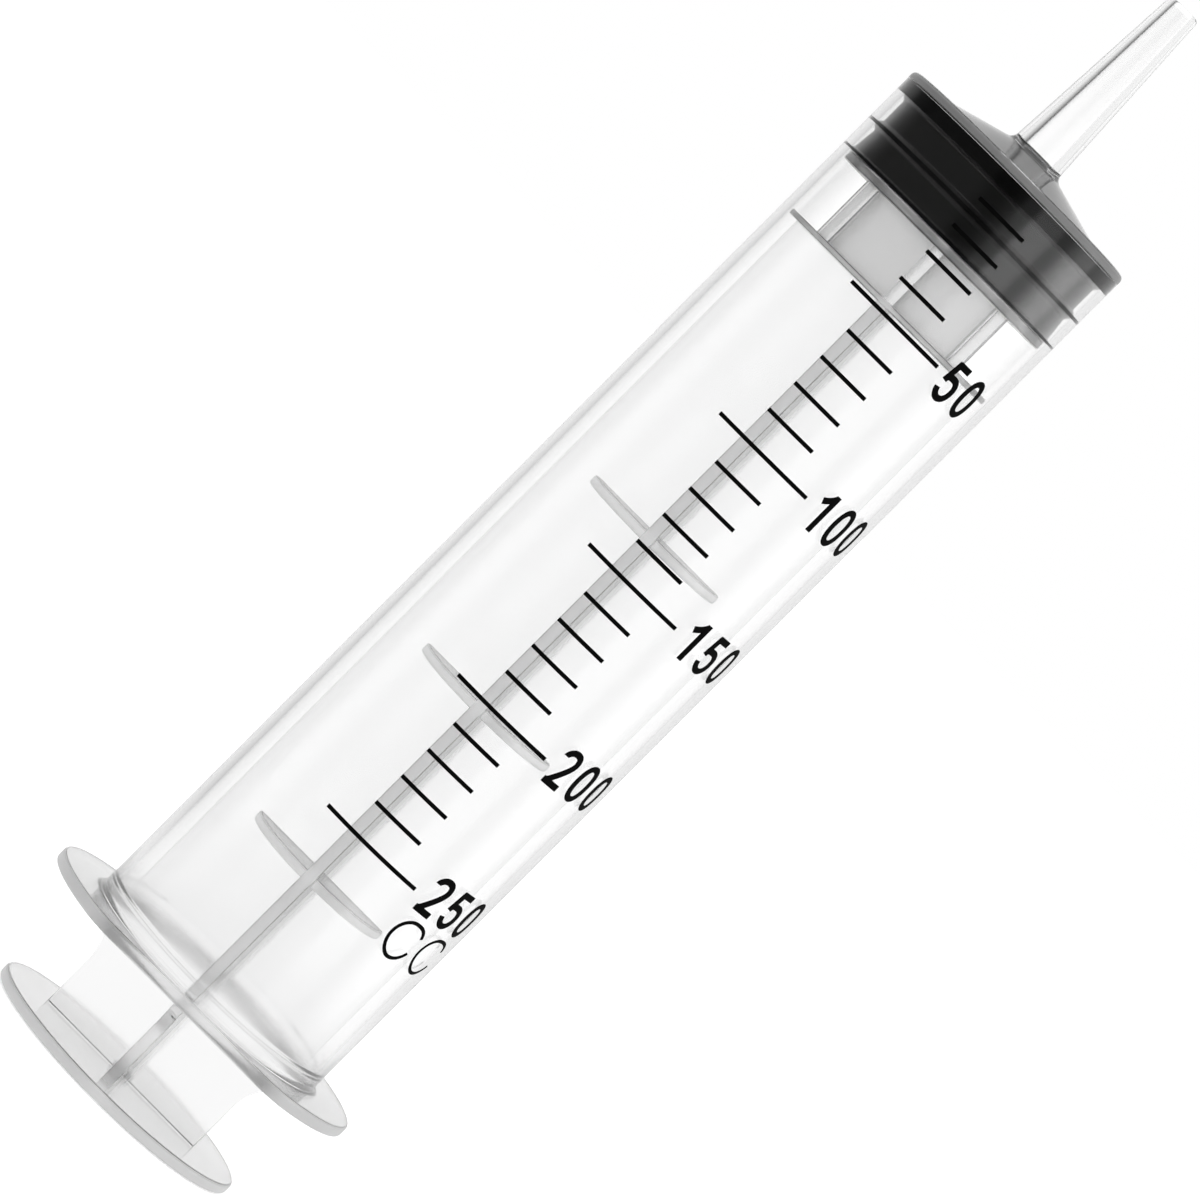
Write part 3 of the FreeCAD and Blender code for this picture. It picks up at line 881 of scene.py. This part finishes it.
# %% [markdown]
# ## Black rubber and ink
# The rubber is near black with a film of silicone oil, so it is matte below and softly shiny on top.
# Where a lip is pressed to the wall there is no air for the film to shine against, so the coat is
# left out there and the lip stays black. The ink is flat black, thinner in places.

# %% Make the rubber and the ink
rubber = Finish(bpy.data.materials.new("black_rubber_look"))
mottle = rubber.noise(220.0, 4.0)
skin = rubber.noise(2600.0, 2.0)
distance, facing = rubber.outward()
off_the_wall = rubber.rise(distance, 0.02278, 0.0226)
bump = rubber.node("Bump", {}, {"Strength": 0.25, "Distance": 0.00005, "Height": skin + 0.5 * mottle})
body = rubber.node(
    "BsdfPrincipled",
    {},
    {
        "Base Color": rubber.grey(0.001 + 0.003 * mottle),
        "Roughness": 0.32 + 0.16 * mottle,
        "Specular IOR Level": 0.05,
        "Coat Weight": 0.9 * off_the_wall,
        "Coat Roughness": 0.35,
        "Normal": bump,
    },
)
rubber.node("OutputMaterial", {}, {"Surface": body})

ink = Finish(bpy.data.materials.new("black_ink_look"))
coverage = ink.noise(700.0, 4.0)
body = ink.node(
    "BsdfPrincipled",
    {},
    {
        "Base Color": ink.grey(0.001 + 0.003 * coverage),
        "Roughness": 0.5 + 0.2 * coverage,
        "Specular IOR Level": 0.02,
    },
)
ink.node("OutputMaterial", {}, {"Surface": body})

# %% [markdown]
# ## Dressing
# Every piece gets its finish and rides on the body that it moves with, and where it stands for a CAD
# solid, that solid's node is hidden in its place. The print rides on the barrel.

# %% Dress the pieces and say what each one is
DRESS = (
    (barrel, clear, "barrel", "clear_polypropylene", "barrel"),
    (rod, milky, "plunger_rod", "milky_polypropylene", "plunger_rod"),
    (piston, rubber, "rubber_piston", "black_rubber", "rubber_piston"),
    (scale_lines, ink, "barrel", "black_ink", None),
    (scale_figures, ink, "barrel", "black_ink", None),
)
for piece, finish, moving_body, slot, node in DRESS:
    piece.data.materials.clear()
    piece.data.materials.append(finish.owner)
    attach(piece, moving_body)
    if node:
        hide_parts(node)
    print(piece.name, "rides on", moving_body)

# %% [markdown]
# ## Floor, backdrop and light
# A clear object is seen by what stands round it. To the camera the world is plain white. Light that
# goes straight through the plastic meets that white too, but the floor near the object is dimmer to
# it: a painted shadow. Light that was mirrored on its way meets the room: bright behind the object,
# grey at the sides, dark in front, and two large soft boxes on the right. They draw the grey edges of
# the tube and the bands of shine on the rubber.

# %% What light meets in each direction
# Straight-through light is dimmer overhead in the world, and on the floor near the object, where the
# dimming is a painted shadow.
THROUGH_FAR = 1.22
THROUGH_DIMMED = 1.0
DIFFUSE_LIGHT = 0.9
PALE_LIGHT = 1.0
BRIGHTEST = 2.5
# The room's light by direction, in degrees from the camera's side towards the right.
ROOM_LIGHTS = {
    -180: 1.0, -160: 0.95, -145: 0.7, -125: 0.4, -116: 0.12, -96: 0.06, -86: 0.1, -16: 0.1, -8: 0.04,
    8: 0.04, 17: 0.12, 20: 0.3, 30: 0.38, 36: 1.2, 55: 1.2, 62: 0.6, 70: 0.65, 78: 1.3, 88: 2.0,
    102: 1.9, 108: 1.0, 130: 0.9, 158: 0.9, 170: 1.0, 180: 1.0,
}


def room_light(finish, place, pale_share):
    """How bright the room is towards a place, where pale_share of it is a pale floor or ceiling."""
    across = finish.node("SeparateXYZ", {}, {"Vector": place}, "X")
    along = finish.node("SeparateXYZ", {}, {"Vector": place}, "Y")
    turn = finish.node("Math", {"operation": "ARCTAN2"}, {0: across, 1: 0 - along})
    stops = [(0.5 + degrees / 360, light / BRIGHTEST) for degrees, light in ROOM_LIGHTS.items()]
    sides = BRIGHTEST * finish.node("ValToRGB", {"stops": stops}, {"Fac": turn / math.tau + 0.5})
    return pale_share * PALE_LIGHT + (1 - pale_share) * sides


def seen_light(finish, room, dimmed_share):
    """The light for each kind of ray: camera, scattered, mirrored or straight through."""
    kinds = ("Is Camera Ray", "Diffuse Depth", "Glossy Depth")
    is_camera, scatterings, mirrorings = (finish.node("LightPath", {}, {}, kind) for kind in kinds)
    scattered = finish.node("Math", {"operation": "GREATER_THAN"}, {0: scatterings, 1: 0.5})
    mirrored = finish.node("Math", {"operation": "GREATER_THAN"}, {0: mirrorings, 1: 0.5})
    # On the floor the dimmed share is a painted shadow near the object; in the world it is the dimmer
    # light overhead.
    through = THROUGH_FAR - (THROUGH_FAR - THROUGH_DIMMED) * dimmed_share
    unscattered = mirrored * room + (1 - mirrored) * through
    others = scattered * DIFFUSE_LIGHT + (1 - scattered) * unscattered
    return is_camera + (1 - is_camera) * others


# %% [markdown]
# The floor is a large pale sheet. To the camera it is a matte surface with a little glow of its own, so
# that it comes out white and still takes a shadow. To all other light it stands for the room, and near
# the object its glow for straight-through light is turned down as a painted shadow.

# %% Floor
FLOOR_GLOW = 0.5
FLOOR_COLOUR = (0.9, 0.9, 0.9, 1)
bpy.ops.object.select_all(action="DESELECT")
bpy.ops.mesh.primitive_plane_add(size=12, location=(0, 0, -0.0002))
floor = bpy.context.object
floor.name = "floor"
pale = Finish(bpy.data.materials.new("pale_floor"))
place = pale.node("TexCoord", {}, {}, "Object")
reach = pale.node("VectorMath", {"operation": "LENGTH"}, {0: place}, "Value")
# Near the object the floor glows less for straight-through light, a painted shadow, and is evenly pale
# for mirrored light.
shadow_and_pale_share = pale.rise(reach, 0.4, 0.15)
light = seen_light(pale, room_light(pale, place, shadow_and_pale_share), shadow_and_pale_share)
unlit = pale.node("Emission", {}, {"Color": (1, 1, 1, 1), "Strength": light})
matte = pale.node("BsdfDiffuse", {}, {"Color": FLOOR_COLOUR})
glow = pale.node("Emission", {}, {"Color": (1, 1, 1, 1), "Strength": FLOOR_GLOW})
shadowed = pale.node("AddShader", {}, {0: matte, 1: glow})
is_camera = pale.node("LightPath", {}, {}, "Is Camera Ray")
mixed = pale.node("MixShader", {}, {0: is_camera, 1: unlit, 2: shadowed})
pale.node("OutputMaterial", {}, {"Surface": mixed})
pale.owner.cycles.emission_sampling = "NONE"
floor.data.materials.append(pale.owner)
print("floor:", [round(number, 1) for number in floor.dimensions], "m")

# %% [markdown]
# Above the horizon the world takes over where the floor ends, with the same room light by direction
# and a pale ceiling overhead.

# %% World
world = bpy.data.worlds.new("studio")
bpy.context.scene.world = world
world.cycles.sampling_method = "NONE"
studio = Finish(world)
direction = studio.node("TexCoord", {}, {}, "Generated")
upward = studio.node("SeparateXYZ", {}, {"Vector": direction}, "Z")
ceiling = studio.rise(upward, 0.4, 0.75)
overhead = studio.rise(upward, 0.01, 0.05)
room = room_light(studio, direction, ceiling)
light = seen_light(studio, room, overhead)
sky = studio.node("Background", {}, {"Color": (1, 1, 1, 1), "Strength": light})
studio.node("OutputWorld", {}, {"Surface": sky})

# %% [markdown]
# One large lamp on the right gives the matte surfaces their shading. Its mirror image is left to the
# room's soft boxes, so it is hidden from the camera and from mirrored light.

# %% Key lamp
KEY_RADIANCE = 0.4
KEY_SIZE = 1.2
key_place = Vector((0.75, -0.45, 0.45))
bpy.ops.object.light_add(type="AREA", location=key_place)
key = bpy.context.object
key.name = "key_lamp"
key.rotation_euler = (Vector((0, 0, 0.12)) - key_place).to_track_quat("-Z", "Y").to_euler()
key.data.size = KEY_SIZE
key.data.energy = KEY_RADIANCE * math.pi * KEY_SIZE**2
key.visible_camera = False
key.visible_glossy = False
key.visible_transmission = False

bpy.context.scene.view_settings.view_transform = "Standard"
print("key lamp at", [round(number, 2) for number in key_place], "energy", round(key.data.energy, 2))
